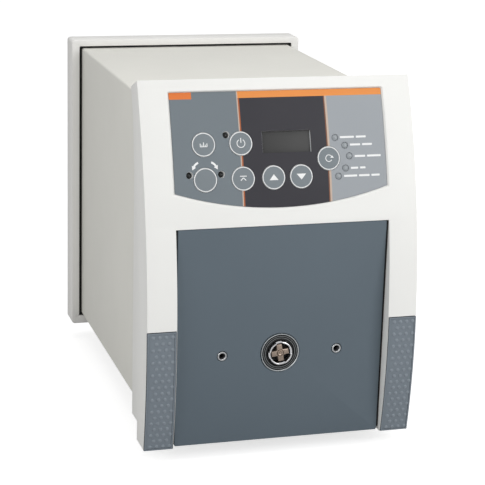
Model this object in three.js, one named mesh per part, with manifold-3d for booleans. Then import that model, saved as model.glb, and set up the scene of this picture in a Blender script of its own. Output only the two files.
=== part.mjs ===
// Bench drive unit for peristaltic pump heads: a warm grey tube-shaped casing with a white curved
// front hood, a white rear frame, a slate plate for the pump head, a membrane control panel and,
// inside, a geared motor that turns the drive coupling.
// Millimetres, +Z up, front faces -Y, origin on the table under the middle of the unit.
import * as THREE from 'three';
import { mergeVertices } from 'three/addons/utils/BufferGeometryUtils.js';
import Module from 'manifold-3d';

const wasm = await Module();
wasm.setup();

// ---------------------------------------------------------------- driving dimensions
const GAP = 0.3;                      // clearance between neighbouring pieces

const HOOD_HALF = 83;                 // half width of the front hood
const HOOD_TOP = 225;                 // overall height
const HOOD_FOOT = 9;                  // lower ends of the hood's arms
const HOOD_SKIN = 2.8;
const ARC_R = 367;                    // radius of the hood's curved front
const ARC_Z = 69.9;                   // height of the curve's foremost point
const ARC_Y = -128;                   // foremost point of the curve
const ARM_INNER = 65.3;               // inner faces of the two arms
const BAY_TOP = 142.7;                // upper edge of the bay between the arms

const BODY_HALF = 74.6;               // casing
const BODY_Z = [19.1, 210.8];
const BODY_Y = [-94, 115];
const BODY_WALL = 2;

const FRAME_HALF = 81;                // rear frame
const FRAME_Z = [12.6, 216.6];
const FRAME_Y = [110.6, 128.4];
const POCKET_HALF = 77.3;
const POCKET_Z = [17.6, 213.2];
const PANEL_Y = [116.5, 119];         // rear panel, its two faces

const PLATE_HALF = 65;                // plate that carries the pump head
const PLATE_Z = [10, 142.4];
const PLATE_Y = [-120.5, -115.5];
const SHAFT_Z = 64;                   // height of the drive shaft
const SHAFT_TURN = THREE.MathUtils.degToRad(9.5);   // where the coupling stands at rest
const SLEEVE_R = 7.5;
const SLOT_W = 3.8;                   // slots and cross arms of the coupling
const INSERT_X = 35.7;                // threaded inserts, either side of the shaft
const INSERT_R = 2.9;

const GEAR_MODULE = 1.25;
const WHEEL_TEETH = 56;
const PINION_TEETH = 14;
const MOTOR_Z = SHAFT_Z + GEAR_MODULE * (WHEEL_TEETH + PINION_TEETH) / 2;
const GEAR_Y = [-100, -92];
const MOTOR_R = 21;
const MOTOR_Y = [-77.7, -15];

const SHEET_HALF = 64.9;              // control panel sheet
const SHEET_TOP = 217.7;
const SHEET_CORNER = 162.7;           // where the sides meet the rounded lower edge
const SHEET_DIP = 9.9;                // how far the lower edge sags below its corners
const KEY_R = 6.9;
const KEY_TRAVEL = 0.5;

// places on the curved front: x across, s along the curve from its foremost point
const KEYS = [
  { name: 'key_calibrate', x: -46.5, s: 121.8 }, { name: 'key_power', x: -24.1, s: 121.8 },
  { name: 'key_direction', x: -46.5, s: 101.3 }, { name: 'key_maximum', x: -23.8, s: 101.3 },
  { name: 'key_up', x: -5.3, s: 101.3 }, { name: 'key_down', x: 11.6, s: 101.3 },
  { name: 'key_select', x: 29.1, s: 111.3 },
];
const LAMPS = [
  { name: 'lamp_power', x: -32.6, s: 127.1 },
  { name: 'lamp_left', x: -55.7, s: 104.3 }, { name: 'lamp_right', x: -36.7, s: 104.3 },
  { name: 'lamp_speed', x: 33.8, s: 123.4 }, { name: 'lamp_tube', x: 39.6, s: 118.6 },
  { name: 'lamp_flow', x: 42.1, s: 112.2 }, { name: 'lamp_volume', x: 39.3, s: 105.1 },
  { name: 'lamp_pause', x: 34.7, s: 100.5 },
];
const WINDOW = { x: 3.9, s: 122.1, w: 29.9, h: 12.8 };
const FEET = [[-46, -70], [46, -70], [-46, 82], [46, 82]];
const REAR_SCREWS = [[-65, 30], [65, 30], [-65, 199.5], [65, 199.5]];

// ---------------------------------------------------------------- materials
const finish = (color, roughness, metalness = 0) =>
  new THREE.MeshStandardMaterial({ color, roughness, metalness });
const WHITE = finish(0xf2f3f0, 0.45);
const WARM_GREY = finish(0xc4c3bd, 0.55);
const SLATE = finish(0x5f6b74, 0.6);
const SHEET_GREY = finish(0x7a868c, 0.5);
const BLACK = finish(0x17181a, 0.6);
const RUBBER = finish(0x1d1e20, 0.85);
const SMOKED = finish(0x3c3c3e, 0.15);
const BOARD_GREEN = finish(0x1f5a3a, 0.5);
const STEEL = finish(0xb9bbbd, 0.3, 1);
const CHROME = finish(0xe4e5e6, 0.12, 1);
const BRONZE = finish(0x8a7560, 0.4, 1);
const ALUMINIUM = finish(0xc9cbcc, 0.4, 1);
const LENS = finish(0x4b5356, 0.25);

// ---------------------------------------------------------------- closed solids
const X = new THREE.Vector3(1, 0, 0);
const Y = new THREE.Vector3(0, 1, 0);
const Z = new THREE.Vector3(0, 0, 1);

function toSolid(geometry) {
  const plain = new THREE.BufferGeometry();
  plain.setAttribute('position', geometry.getAttribute('position').clone());
  if (geometry.index) plain.setIndex(geometry.index.clone());
  const merged = mergeVertices(plain, 1e-4);
  const p = merged.getAttribute('position').array;
  const tri = [];
  let volume = 0;
  for (let i = 0; i < merged.index.count; i += 3) {
    const [a, b, c] = [merged.index.getX(i), merged.index.getX(i + 1), merged.index.getX(i + 2)];
    if (a === b || b === c || a === c) continue;
    tri.push(a, b, c);
    const [u, v, w] = [a, b, c].map((k) => new THREE.Vector3().fromArray(p, 3 * k));
    volume += u.dot(v.cross(w));
  }
  if (volume < 0) {
    for (let i = 0; i < tri.length; i += 3) [tri[i], tri[i + 1]] = [tri[i + 1], tri[i]];
  }
  return new wasm.Manifold(new wasm.Mesh({
    numProp: 3, vertProperties: new Float32Array(p), triVerts: new Uint32Array(tri),
  }));
}

function fromSolid(solid) {
  const mesh = solid.getMesh();
  const geometry = new THREE.BufferGeometry();
  geometry.setAttribute('position', new THREE.BufferAttribute(new Float32Array(mesh.vertProperties), 3));
  geometry.setIndex(new THREE.BufferAttribute(new Uint32Array(mesh.triVerts), 1));
  return geometry;
}

const join = (first, ...rest) => fromSolid(rest.reduce((s, g) => s.add(toSolid(g)), toSolid(first)));
const cut = (first, ...rest) => fromSolid(rest.reduce((s, g) => s.subtract(toSolid(g)), toSolid(first)));
const common = (a, b) => fromSolid(toSolid(a).intersect(toSolid(b)));

// ---------------------------------------------------------------- outlines and basic bodies
function extrude(outline, depth, holes = []) {
  const shape = new THREE.Shape(outline.map(([u, v]) => new THREE.Vector2(u, v)));
  for (const hole of holes) shape.holes.push(new THREE.Path(hole.map(([u, v]) => new THREE.Vector2(u, v))));
  return new THREE.ExtrudeGeometry(shape, { depth, bevelEnabled: false, steps: 1 });
}

// outline in (y, z), running from x0 to x1
function alongX(outline, x0, x1) {
  return extrude(outline, x1 - x0)
    .applyMatrix4(new THREE.Matrix4().makeBasis(Y, Z, X)).translate(x0, 0, 0);
}

// outline in (x, z), running from y0 to y1
function alongY(outline, y0, y1, holes) {
  return extrude(outline, y1 - y0, holes)
    .applyMatrix4(new THREE.Matrix4().makeBasis(X, Z, Y.clone().negate())).translate(0, y1, 0);
}

function block([x0, x1], [y0, y1], [z0, z1]) {
  return new THREE.BoxGeometry(x1 - x0, y1 - y0, z1 - z0)
    .translate((x0 + x1) / 2, (y0 + y1) / 2, (z0 + z1) / 2);
}

function roundRect(u0, u1, v0, v1, r, steps = 3) {
  const points = [];
  const corners = [[u1 - r, v0 + r, -90], [u1 - r, v1 - r, 0], [u0 + r, v1 - r, 90], [u0 + r, v0 + r, 180]];
  for (const [cu, cv, start] of corners) {
    for (let i = 0; i <= steps; i++) {
      const a = THREE.MathUtils.degToRad(start + 90 * i / steps);
      points.push([cu + r * Math.cos(a), cv + r * Math.sin(a)]);
    }
  }
  return points;
}

function circle(r, steps, cu = 0, cv = 0, start = 0) {
  return Array.from({ length: steps }, (_, i) => {
    const a = start + 2 * Math.PI * i / steps;
    return [cu + r * Math.cos(a), cv + r * Math.sin(a)];
  });
}

// profile of [radius, y], turned about the Y axis; it starts and ends on the axis or closes on itself
function turned(profile, steps = 24) {
  return new THREE.LatheGeometry(profile.map(([r, y]) => new THREE.Vector2(r, y)), steps);
}

const rod = (r, y0, y1, steps = 24) => turned([[0, y0], [r, y0], [r, y1], [0, y1]], steps);
const ring = (r0, r1, y0, y1, steps = 24) =>
  turned([[r0, y0], [r1, y0], [r1, y1], [r0, y1], [r0, y0]], steps);

// ---------------------------------------------------------------- the curved front
const arcY = (z, d = 0) => ARC_Y + ARC_R - Math.sqrt((ARC_R + d) ** 2 - (z - ARC_Z) ** 2);

// points [y, z] of the front curve, d outside it
function arcLine(z0, z1, d, steps) {
  return Array.from({ length: steps + 1 }, (_, i) => {
    const z = z0 + (z1 - z0) * i / steps;
    return [arcY(z, d), z];
  });
}

// a curved slab between d0 and d1 outside the front curve
function arcSlab([x0, x1], [z0, z1], d0, d1, steps) {
  return alongX([...arcLine(z0, z1, d1, steps), ...arcLine(z1, z0, d0, steps)], x0, x1);
}

// moves a body made around the Y axis so that its -Y side faces out of the curve at (x, s)
function onCurve(geometry, { x, s }) {
  const lean = s / ARC_R;
  return geometry.rotateX(-lean)
    .translate(x, ARC_Y + ARC_R * (1 - Math.cos(lean)), ARC_Z + ARC_R * Math.sin(lean));
}

// outline of the control panel in (x, z), grown by e
function sheetOutline(e) {
  const half = SHEET_HALF + e;
  const bow = (SHEET_HALF ** 2 + SHEET_DIP ** 2) / (2 * SHEET_DIP);
  const centre = SHEET_CORNER - SHEET_DIP + bow;
  const bottom = Array.from({ length: 15 }, (_, i) => {
    const x = -half + 2 * half * i / 14;
    return [x, centre - Math.sqrt((bow + e) ** 2 - x ** 2)];
  });
  const r = 1.6;
  const top = [];
  for (const side of [1, -1]) {
    for (let i = 0; i <= 2; i++) {
      const a = THREE.MathUtils.degToRad(side > 0 ? 45 * i : 90 + 45 * i);
      top.push([side * (half - r) + r * Math.cos(a), SHEET_TOP + e - r + r * Math.sin(a)]);
    }
  }
  return [...bottom, ...top];
}

const unit = new THREE.Group();

function piece(name, geometry, material, position = [0, 0, 0], turn = 0) {
  const mesh = new THREE.Mesh(fromSolid(toSolid(geometry)), material);
  mesh.name = name;
  mesh.position.set(...position);
  mesh.rotation.y = turn;
  unit.add(mesh);
  return mesh;
}

// ---------------------------------------------------------------- front hood
const hoodSide = [
  ...arcLine(HOOD_FOOT, HOOD_TOP, 0, 18),
  [-79, 219], [-84.3, 203], [-89.3, 170], [-90.5, 20.8], [-104, 20.8], [-103.6, HOOD_FOOT],
];
const hoodHollow = [
  ...arcLine(HOOD_FOOT + HOOD_SKIN, HOOD_TOP - HOOD_SKIN - 0.6, -HOOD_SKIN, 16),
  [-81.8, 216.3], [-87.1, 202.6], [-92.1, 169.6], [-93.3, 23.6], [-106.8, 23.6],
  [-106.4, HOOD_FOOT + HOOD_SKIN],
];
const hoodShell = cut(
  alongX(hoodSide, -HOOD_HALF, HOOD_HALF),
  cut(
    alongX(hoodHollow, -HOOD_HALF + HOOD_SKIN, HOOD_HALF - HOOD_SKIN),
    block([-ARM_INNER - 2.5, ARM_INNER + 2.5], [-140, -103.9], [0, BAY_TOP + 2.5]),
  ),
  block([-ARM_INNER, ARM_INNER], [-140, -103.9], [0, BAY_TOP]),
  block([-BODY_HALF - GAP, BODY_HALF + GAP], [BODY_Y[0] - 1.3, -60], [BODY_Z[0] - GAP, BODY_Z[1] + GAP]),
  common(
    alongY(sheetOutline(GAP), -140, -60),
    arcSlab([-70, 70], [148, 222], -1.1, 4, 12),
  ),
  ...[-1, 1].map((side) => arcSlab(
    side < 0 ? [-85, -60] : [60, 85], [4, 84.6], -1.6, 4, 8)),
);
const hoodHoles = [
  ...KEYS.map((key) => onCurve(rod(2.6, -3, 8, 10), key)),
  ...LAMPS.map((lamp) => onCurve(rod(1.6, -3, 8, 8), lamp)),
  onCurve(block([-WINDOW.w / 2 - 0.4, WINDOW.w / 2 + 0.4], [-3, 8],
    [-WINDOW.h / 2 - 0.4, WINDOW.h / 2 + 0.4]), WINDOW),
];
piece('front_hood', cut(hoodShell, ...hoodHoles), WHITE);

for (const [name, side] of [['left_grip_pad', -1], ['right_grip_pad', 1]]) {
  const span = [side * 65.5, side * (HOOD_HALF + 0.2)].sort((a, b) => a - b);
  const pad = arcSlab(span, [HOOD_FOOT, 84.3], -1.3, 0.4, 8);
  piece(name, pad, SLATE);
}

// ---------------------------------------------------------------- control panel
const sheet = common(
  alongY(sheetOutline(0), -140, -60),
  arcSlab([-70, 70], [148, 222], -0.8, -0.3, 12),
);
piece('keypad_sheet', cut(
  sheet,
  ...KEYS.map((key) => onCurve(rod(KEY_R + GAP, -3, 3, 20), key)),
  ...LAMPS.map((lamp) => onCurve(rod(1.6, -3, 3, 8), lamp)),
  onCurve(block([-WINDOW.w / 2, WINDOW.w / 2], [-3, 3], [-WINDOW.h / 2, WINDOW.h / 2]), WINDOW),
), SHEET_GREY);

for (const key of KEYS) {
  const cap = turned([
    [0, -0.3], [KEY_R - 0.6, -0.3], [KEY_R, 0], [KEY_R, 0.45], [2.1, 0.45], [2.1, 3.9], [0, 3.9],
  ], 20);
  piece(key.name, onCurve(cap, key), SHEET_GREY);
}

for (const lamp of LAMPS) {
  piece(lamp.name, onCurve(turned([[0, 0.1], [0.8, 0.15], [1.25, 0.5], [1.25, 4.2], [0, 4.2]], 8), lamp), LENS);
}

piece('display_window', onCurve(block([-WINDOW.w / 2, WINDOW.w / 2], [1.9, 2.6],
  [-WINDOW.h / 2, WINDOW.h / 2]), WINDOW), SMOKED);
piece('display_module', onCurve(block([-14.4, 14.4], [2.9, 4.7], [-6, 6]), WINDOW), BLACK);
piece('keypad_board', onCurve(block([-62, 62], [5.2, 6.8], [-24, 26]), { x: 0, s: 114 }), BOARD_GREEN);

// ---------------------------------------------------------------- plate for the pump head
piece('front_plate', cut(
  join(
    alongY(roundRect(-PLATE_HALF, PLATE_HALF, PLATE_Z[0], PLATE_Z[1], 1, 2), ...PLATE_Y),
    rod(17, PLATE_Y[1] - 0.5, -106).translate(0, 0, SHAFT_Z),
    block([-PLATE_HALF + 1, PLATE_HALF - 1], [PLATE_Y[1] - 1, -104.3], [PLATE_Z[0], PLATE_Z[0] + 2.5]),
  ),
  rod(12.1, -125, -117.2).translate(0, 0, SHAFT_Z),
  rod(11.1, -118, -113).translate(0, 0, SHAFT_Z),
  rod(12.3, -114.8, -100).translate(0, 0, SHAFT_Z),
  ...[-1, 1].map((side) => rod(INSERT_R + GAP, -125, -110, 16).translate(side * INSERT_X, 0, SHAFT_Z)),
), SLATE);

for (const [name, side] of [['left_insert', -1], ['right_insert', 1]]) {
  piece(name, cut(
    turned([[0, -120.6], [2.7, -120.6], [INSERT_R, -120.3], [INSERT_R, -113], [0, -113]], 16),
    rod(1.65, -125, -114.5, 12),
  ), STEEL, [side * INSERT_X, 0, SHAFT_Z]);
}

piece('seal_ring', ring(11.1, 11.8, -121, -117.6, 32), ALUMINIUM, [0, 0, SHAFT_Z]);
piece('shaft_seal', turned([
  [7.9, -117], [7.9, -120.6], [8.4, -120.6], [8.4, -120.1], [9.1, -120.1], [9.1, -120.6],
  [9.6, -120.6], [9.6, -120.1], [10.2, -120.1], [10.8, -120.7], [10.8, -117], [7.9, -117],
], 24), RUBBER, [0, 0, SHAFT_Z]);
piece('front_bearing', ring(6.3, 12, -114.5, -107.5, 20), STEEL, [0, 0, SHAFT_Z]);
piece('rear_bearing', ring(6.3, 11, -84.5, -77.5, 20), STEEL, [0, 0, SHAFT_Z]);

// ---------------------------------------------------------------- drive coupling and shaft
const slotBars = [0, Math.PI / 2].map((turn) =>
  block([-12, 12], [-130, -120.9], [-SLOT_W / 2, SLOT_W / 2]).rotateY(turn));
piece('coupling_sleeve', cut(ring(6.2, SLEEVE_R, -122.6, -115, 32), ...slotBars),
  CHROME, [0, 0, SHAFT_Z], -SHAFT_TURN);

const crossArm = (turn) =>
  block([-5.5, 5.5], [-121.8, -116], [-SLOT_W / 2 + 0.1, SLOT_W / 2 - 0.1]).rotateY(turn);
piece('coupling_cross', join(rod(5.9, -118, -115.1, 24), crossArm(0), crossArm(Math.PI / 2)),
  BRONZE, [0, 0, SHAFT_Z], -SHAFT_TURN);
piece('output_shaft', turned([
  [0, -114.7], [6, -114.7], [6, -72.8], [5.2, -72], [0, -72],
], 20), STEEL, [0, 0, SHAFT_Z]);

// straight-flanked teeth, thinned a little for backlash; the first tooth points along angle `start`
function gearOutline(teeth, start) {
  const pitch = GEAR_MODULE * teeth / 2;
  const tip = pitch + 0.9 * GEAR_MODULE;
  const root = pitch - 1.25 * GEAR_MODULE;
  const half = Math.PI * GEAR_MODULE / 4 - 0.18;
  const slope = Math.tan(THREE.MathUtils.degToRad(20));
  const tipHalf = (half - slope * (tip - pitch)) / tip;
  const rootHalf = (half + slope * (pitch - root)) / root;
  const points = [];
  for (let i = 0; i < teeth; i++) {
    const a = start + 2 * Math.PI * i / teeth;
    for (const [r, b] of [[root, -rootHalf], [tip, -tipHalf], [tip, tipHalf], [root, rootHalf]]) {
      points.push([r * Math.cos(a + b), r * Math.sin(a + b)]);
    }
  }
  return points;
}

piece('output_gear', alongY(
  gearOutline(WHEEL_TEETH, Math.PI / WHEEL_TEETH), ...GEAR_Y, [circle(6.3, 20)],
), STEEL, [0, 0, SHAFT_Z]);
piece('motor_pinion', alongY(
  gearOutline(PINION_TEETH, -Math.PI / 2), GEAR_Y[0] - 0.5, GEAR_Y[1] + 0.5, [circle(3.3, 12)],
), STEEL, [0, 0, MOTOR_Z]);

// ---------------------------------------------------------------- gearbox carrier and motor
const posts = [[-42, 30], [42, 30], [-42, 131], [42, 131]];
piece('gearbox_carrier', cut(
  join(
    alongY(roundRect(-50, 50, 22.4, 139, 4, 2), -84, -78),
    ...posts.map(([x, z]) => rod(4, PLATE_Y[1] + GAP, -83, 10).translate(x, 0, z)),
  ),
  rod(11.3, -90, -70, 20).translate(0, 0, SHAFT_Z),
  rod(4, -90, -70, 12).translate(0, 0, MOTOR_Z),
), ALUMINIUM);

piece('motor_body', cut(
  turned([
    [0, MOTOR_Y[0]], [MOTOR_R - 1, MOTOR_Y[0]], [MOTOR_R, MOTOR_Y[0] + 1],
    [MOTOR_R, MOTOR_Y[1] - 1], [MOTOR_R - 1, MOTOR_Y[1]], [0, MOTOR_Y[1]],
  ], 28),
  rod(3.3, -90, 0, 12),
), STEEL, [0, 0, MOTOR_Z]);
piece('motor_shaft', rod(3, -101.5, -7, 12), STEEL, [0, 0, MOTOR_Z]);
piece('encoder_disc', ring(3.3, 15, -11.5, -10.5, 24), BLACK, [0, 0, MOTOR_Z]);
piece('encoder_sensor', cut(
  block([-5, 5], [-14.5, -7.5], [8.5, 20]),
  block([-6, 6], [-12.3, -9.7], [7, 16]),
), BLACK, [0, 0, MOTOR_Z]);

// ---------------------------------------------------------------- casing, rear frame and panel
const body = roundRect(-BODY_HALF, BODY_HALF, ...BODY_Z, 2.5, 3);
const bodyInside = roundRect(-BODY_HALF + BODY_WALL, BODY_HALF - BODY_WALL,
  BODY_Z[0] + BODY_WALL, BODY_Z[1] - BODY_WALL, 1, 2);
const bosses = REAR_SCREWS.map(([x, z]) => {
  const outX = Math.sign(x) * (BODY_HALF - 1);
  const outZ = z < 100 ? BODY_Z[0] + 1 : BODY_Z[1] - 1;
  const inX = x - Math.sign(x) * 5;
  const inZ = z < 100 ? z + 5 : z - 5;
  return block([Math.min(inX, outX), Math.max(inX, outX)], [97, BODY_Y[1]],
    [Math.min(inZ, outZ), Math.max(inZ, outZ)]);
});
piece('main_casing', cut(
  join(alongY(body, ...BODY_Y, [bodyInside]), ...bosses),
  ...REAR_SCREWS.map(([x, z]) => rod(1.9, 100, 120, 8).translate(x, 0, z)),
), WARM_GREY);

piece('rear_frame', cut(
  alongY(roundRect(-FRAME_HALF, FRAME_HALF, ...FRAME_Z, 3, 3), ...FRAME_Y,
    [roundRect(-70.5, 70.5, 23.5, 206, 3, 3)]),
  alongY(roundRect(-POCKET_HALF, POCKET_HALF, ...POCKET_Z, 1.5, 2), 100, PANEL_Y[1] + GAP),
), WHITE);
piece('rear_gasket', alongY(
  roundRect(-POCKET_HALF + GAP, POCKET_HALF - GAP, POCKET_Z[0] + GAP, POCKET_Z[1] - GAP, 1.5, 2),
  112.2, PANEL_Y[0] - GAP,
  [roundRect(-BODY_HALF - GAP, BODY_HALF + GAP, BODY_Z[0] - GAP, BODY_Z[1] + GAP, 2.5, 2)],
), RUBBER);

const INLET = { x: -34, z: 60 };
const SWITCH = { x: 2, z: 60 };
const FUSE = { x: 28, z: 60 };
const WIDE_PORT = { x: -28, z: 96, half: 26.5, shell: 19.3 };
const SMALL_PORT = { x: 36, z: 96, half: 15.4, shell: 8.2 };
const portHole = (port, e) => [
  [port.x - port.shell + 1.2 - e, port.z - 4.1 - e], [port.x + port.shell - 1.2 + e, port.z - 4.1 - e],
  [port.x + port.shell + e, port.z + 4.1 + e], [port.x - port.shell - e, port.z + 4.1 + e],
];
piece('rear_panel', cut(
  alongY(roundRect(-POCKET_HALF + GAP, POCKET_HALF - GAP, POCKET_Z[0] + GAP, POCKET_Z[1] - GAP, 1.5, 2),
    ...PANEL_Y),
  block([INLET.x - 14.6, INLET.x + 14.6], [110, 125], [INLET.z - 10.9, INLET.z + 10.9]),
  block([SWITCH.x - 7.4, SWITCH.x + 7.4], [110, 125], [SWITCH.z - 11.4, SWITCH.z + 11.4]),
  rod(6.9, 110, 125, 16).translate(FUSE.x, 0, FUSE.z),
  alongY(portHole(WIDE_PORT, GAP), 110, 125),
  alongY(portHole(SMALL_PORT, GAP), 110, 125),
  ...REAR_SCREWS.map(([x, z]) => rod(1.9, 110, 125, 8).translate(x, 0, z)),
), ALUMINIUM);

REAR_SCREWS.forEach(([x, z], i) => {
  piece(`rear_screw_${i + 1}`, cut(
    turned([[0, 104], [1.55, 104], [1.55, 119.3], [3, 119.3], [3, 120.6], [2.2, 121.4], [0, 121.4]], 12),
    block([-2, 2], [120.5, 123], [-0.4, 0.4]),
  ), STEEL, [x, 0, z]);
});

// ---------------------------------------------------------------- sockets and switch at the rear
const flangeY = PANEL_Y[1] + GAP;
const blades = [[-7, -1.5], [0, 2.5], [7, -1.5]];
piece('mains_inlet', join(
  cut(
    join(
      alongY(roundRect(-25, 25, -12, 12, 4, 2), flangeY, flangeY + 2.4),
      block([-14.3, 14.3], [96, flangeY + 1], [-10.6, 10.6]),
    ),
    alongY([[-12.2, -8.2], [12.2, -8.2], [12.2, 5], [8.6, 8.2], [-8.6, 8.2], [-12.2, 5]],
      105, 130),
  ),
  ...blades.map(([x, z]) => block([x - 1, x + 1], [104, 116.5], [z - 2, z + 2])),
), BLACK, [INLET.x, 0, INLET.z]);

piece('switch_frame', cut(
  join(
    alongY(roundRect(-9.3, 9.3, -13.3, 13.3, 1.2, 1), flangeY, flangeY + 2),
    block([-7.1, 7.1], [100, flangeY + 1], [-11.1, 11.1]),
  ),
  block([-5.9, 5.9], [112, 130], [-9.9, 9.9]),
), BLACK, [SWITCH.x, 0, SWITCH.z]);
const rocker = piece('power_rocker', alongX([
  [-4, -7], [3.2, -8.7], [4.2, 0], [3.2, 8.7], [-4, 7],
], -5.5, 5.5), BLACK, [SWITCH.x, 119.4, SWITCH.z]);
rocker.rotation.x = THREE.MathUtils.degToRad(-8);

piece('fuse_holder', cut(
  turned([[0, 92], [6.6, 92], [6.6, flangeY], [8.5, flangeY], [8.5, flangeY + 2.2], [0, flangeY + 2.2]], 16),
  rod(5.3, 98, 130, 16),
), BLACK, [FUSE.x, 0, FUSE.z]);
piece('fuse_cap', cut(
  turned([[0, 100], [2.9, 100], [2.9, 118], [5, 118], [5, 123], [4.4, 123.8], [0, 123.8]], 16),
  block([-6, 6], [122.6, 126], [-0.6, 0.6]),
), BLACK, [FUSE.x, 0, FUSE.z]);

for (const [name, port] of [['analog_port', WIDE_PORT], ['serial_port', SMALL_PORT]]) {
  piece(name, join(
    alongY(roundRect(port.x - port.half, port.x + port.half, port.z - 6.2, port.z + 6.2, 1.5, 2),
      flangeY, flangeY + 1),
    alongY(portHole(port, 0), 108, flangeY + 6.2),
    ...[-1, 1].map((side) =>
      rod(2.4, flangeY, flangeY + 5.2, 6).translate(port.x + side * (port.half - 3), 0, port.z)),
  ), STEEL);
}

// ---------------------------------------------------------------- electronics and feet
piece('main_board', block([62, 63.6], [-55, 85], [34, 195]), BOARD_GREEN);
piece('power_supply', block([-70, -22], [-40, 80], [24, 66]), ALUMINIUM);

FEET.forEach(([x, y], i) => {
  const foot = turned([[0, 0], [10.4, 0], [11, 0.8], [9.6, 18.8], [0, 18.8]], 20).rotateX(Math.PI / 2);
  piece(`foot_${i + 1}`, foot, RUBBER, [x, y, 0]);
});

export default unit;
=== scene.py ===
"""Looks of the bench drive for peristaltic pump heads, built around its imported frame."""
import math

import bpy
from mathutils import Matrix, Vector


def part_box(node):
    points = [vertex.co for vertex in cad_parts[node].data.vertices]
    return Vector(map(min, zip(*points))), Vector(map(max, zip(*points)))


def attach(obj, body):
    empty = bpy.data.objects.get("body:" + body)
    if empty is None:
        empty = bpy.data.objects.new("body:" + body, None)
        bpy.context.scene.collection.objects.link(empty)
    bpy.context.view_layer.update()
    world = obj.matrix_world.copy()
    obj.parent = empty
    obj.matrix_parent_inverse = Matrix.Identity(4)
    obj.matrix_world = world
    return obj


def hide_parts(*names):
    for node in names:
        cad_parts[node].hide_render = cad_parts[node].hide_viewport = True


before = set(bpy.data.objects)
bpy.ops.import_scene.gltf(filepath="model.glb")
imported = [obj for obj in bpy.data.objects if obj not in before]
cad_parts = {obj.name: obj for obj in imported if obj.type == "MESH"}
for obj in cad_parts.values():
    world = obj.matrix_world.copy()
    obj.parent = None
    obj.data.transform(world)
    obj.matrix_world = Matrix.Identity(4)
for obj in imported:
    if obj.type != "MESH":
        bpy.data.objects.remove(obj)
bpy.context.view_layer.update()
bpy.ops.object.select_all(action="DESELECT")

MM = 0.001

# the drive's own measures, in millimetres; a panel place is (x, s) with s along the hood's curve
ARC_R, ARC_Z, ARC_Y = 367.0, 69.9, -128.0
HOOD_HALF, HOOD_FOOT, HOOD_TOP, HOOD_SKIN = 83.0, 9.0, 225.0, 2.8
ARM_INNER, BAY_TOP = 65.3, 142.7
BODY_HALF, BODY_LOW, BODY_HIGH = 74.6, 19.1, 210.8
BODY_FRONT, BODY_REAR = -94.0, 115.0
PAD_TOP = 83.8
SHEET_HALF, SHEET_TOP, SHEET_CORNER, SHEET_DIP = 64.9, 217.7, 162.7, 9.9
SHAFT_Z = 64.0
SHAFT_TURN = math.radians(9.5)
INSERT_X = 35.7
KEY_R = 6.9
GLASS_AT, GLASS_W, GLASS_H = (3.9, 122.1), 29.9 / 2, 12.8 / 2     # centre, half width, half height

KEYS = {
    "key_calibrate": (-46.5, 121.8), "key_power": (-24.1, 121.8),
    "key_direction": (-46.5, 101.3), "key_maximum": (-23.8, 101.3),
    "key_up": (-5.3, 101.3), "key_down": (11.6, 101.3), "key_select": (29.1, 111.3),
}
LAMPS = {
    "lamp_power": (-32.6, 127.1), "lamp_left": (-55.7, 104.3), "lamp_right": (-36.7, 104.3),
    "lamp_speed": (33.8, 123.4), "lamp_tube": (39.6, 118.6), "lamp_flow": (42.1, 112.2),
    "lamp_volume": (39.3, 105.1), "lamp_pause": (34.7, 100.5),
}


# ---------------- camera
CAMERA_PLACE, CAMERA_LENS = (-0.29391, -1.01144, 0.39290), 123.475
CAMERA_TURN = (16.778, 15.584, 1.662)                  # yaw, pitch and roll in degrees


def set_camera():
    """The viewing place, in the frame's metres, with a small roll."""
    yaw, pitch, roll = (math.radians(a) for a in CAMERA_TURN)
    ahead = Vector((math.sin(yaw), math.cos(yaw), 0.0))
    right = Vector((math.cos(yaw), -math.sin(yaw), 0.0))
    up = Vector((0.0, 0.0, 1.0))
    view = ahead * math.cos(pitch) - up * math.sin(pitch)
    top = up * math.cos(pitch) + ahead * math.sin(pitch)
    side = right * math.cos(roll) + top * math.sin(roll)
    crown = -right * math.sin(roll) + top * math.cos(roll)
    turn = Matrix((side, crown, -view)).transposed().to_4x4()
    bpy.ops.object.camera_add()
    camera = bpy.context.object
    camera.name = "viewing_camera"
    camera.matrix_world = Matrix.Translation(CAMERA_PLACE) @ turn
    camera.data.lens = CAMERA_LENS
    camera.data.sensor_width = 36.0
    camera.data.clip_start = 0.05
    bpy.context.scene.camera = camera
    camera.select_set(False)


set_camera()


# ---------------- ways of working
def put_down():
    bpy.ops.object.select_all(action="DESELECT")


def pick_up(piece):
    put_down()
    piece.select_set(True)
    bpy.context.view_layer.objects.active = piece


def apply_place(piece):
    pick_up(piece)
    bpy.ops.object.transform_apply(location=True, rotation=True, scale=True)
    return piece


def pick_edges(piece, chosen):
    """Opens the piece in edit mode with only the chosen edges selected."""
    pick_up(piece)
    bpy.ops.object.mode_set(mode="EDIT")
    bpy.ops.mesh.select_mode(type="EDGE")
    bpy.ops.mesh.select_all(action="DESELECT")
    bpy.ops.object.mode_set(mode="OBJECT")
    for edge in piece.data.edges:
        edge.select = chosen(edge)
    bpy.ops.object.mode_set(mode="EDIT")


def block(name, low, high):
    """A block between two corners in millimetres."""
    size = [(b - a) * MM for a, b in zip(low, high)]
    middle = [(a + b) / 2 * MM for a, b in zip(low, high)]
    put_down()
    bpy.ops.mesh.primitive_cube_add(size=1, location=middle, scale=size)
    bpy.context.object.name = name
    return apply_place(bpy.context.object)


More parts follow.
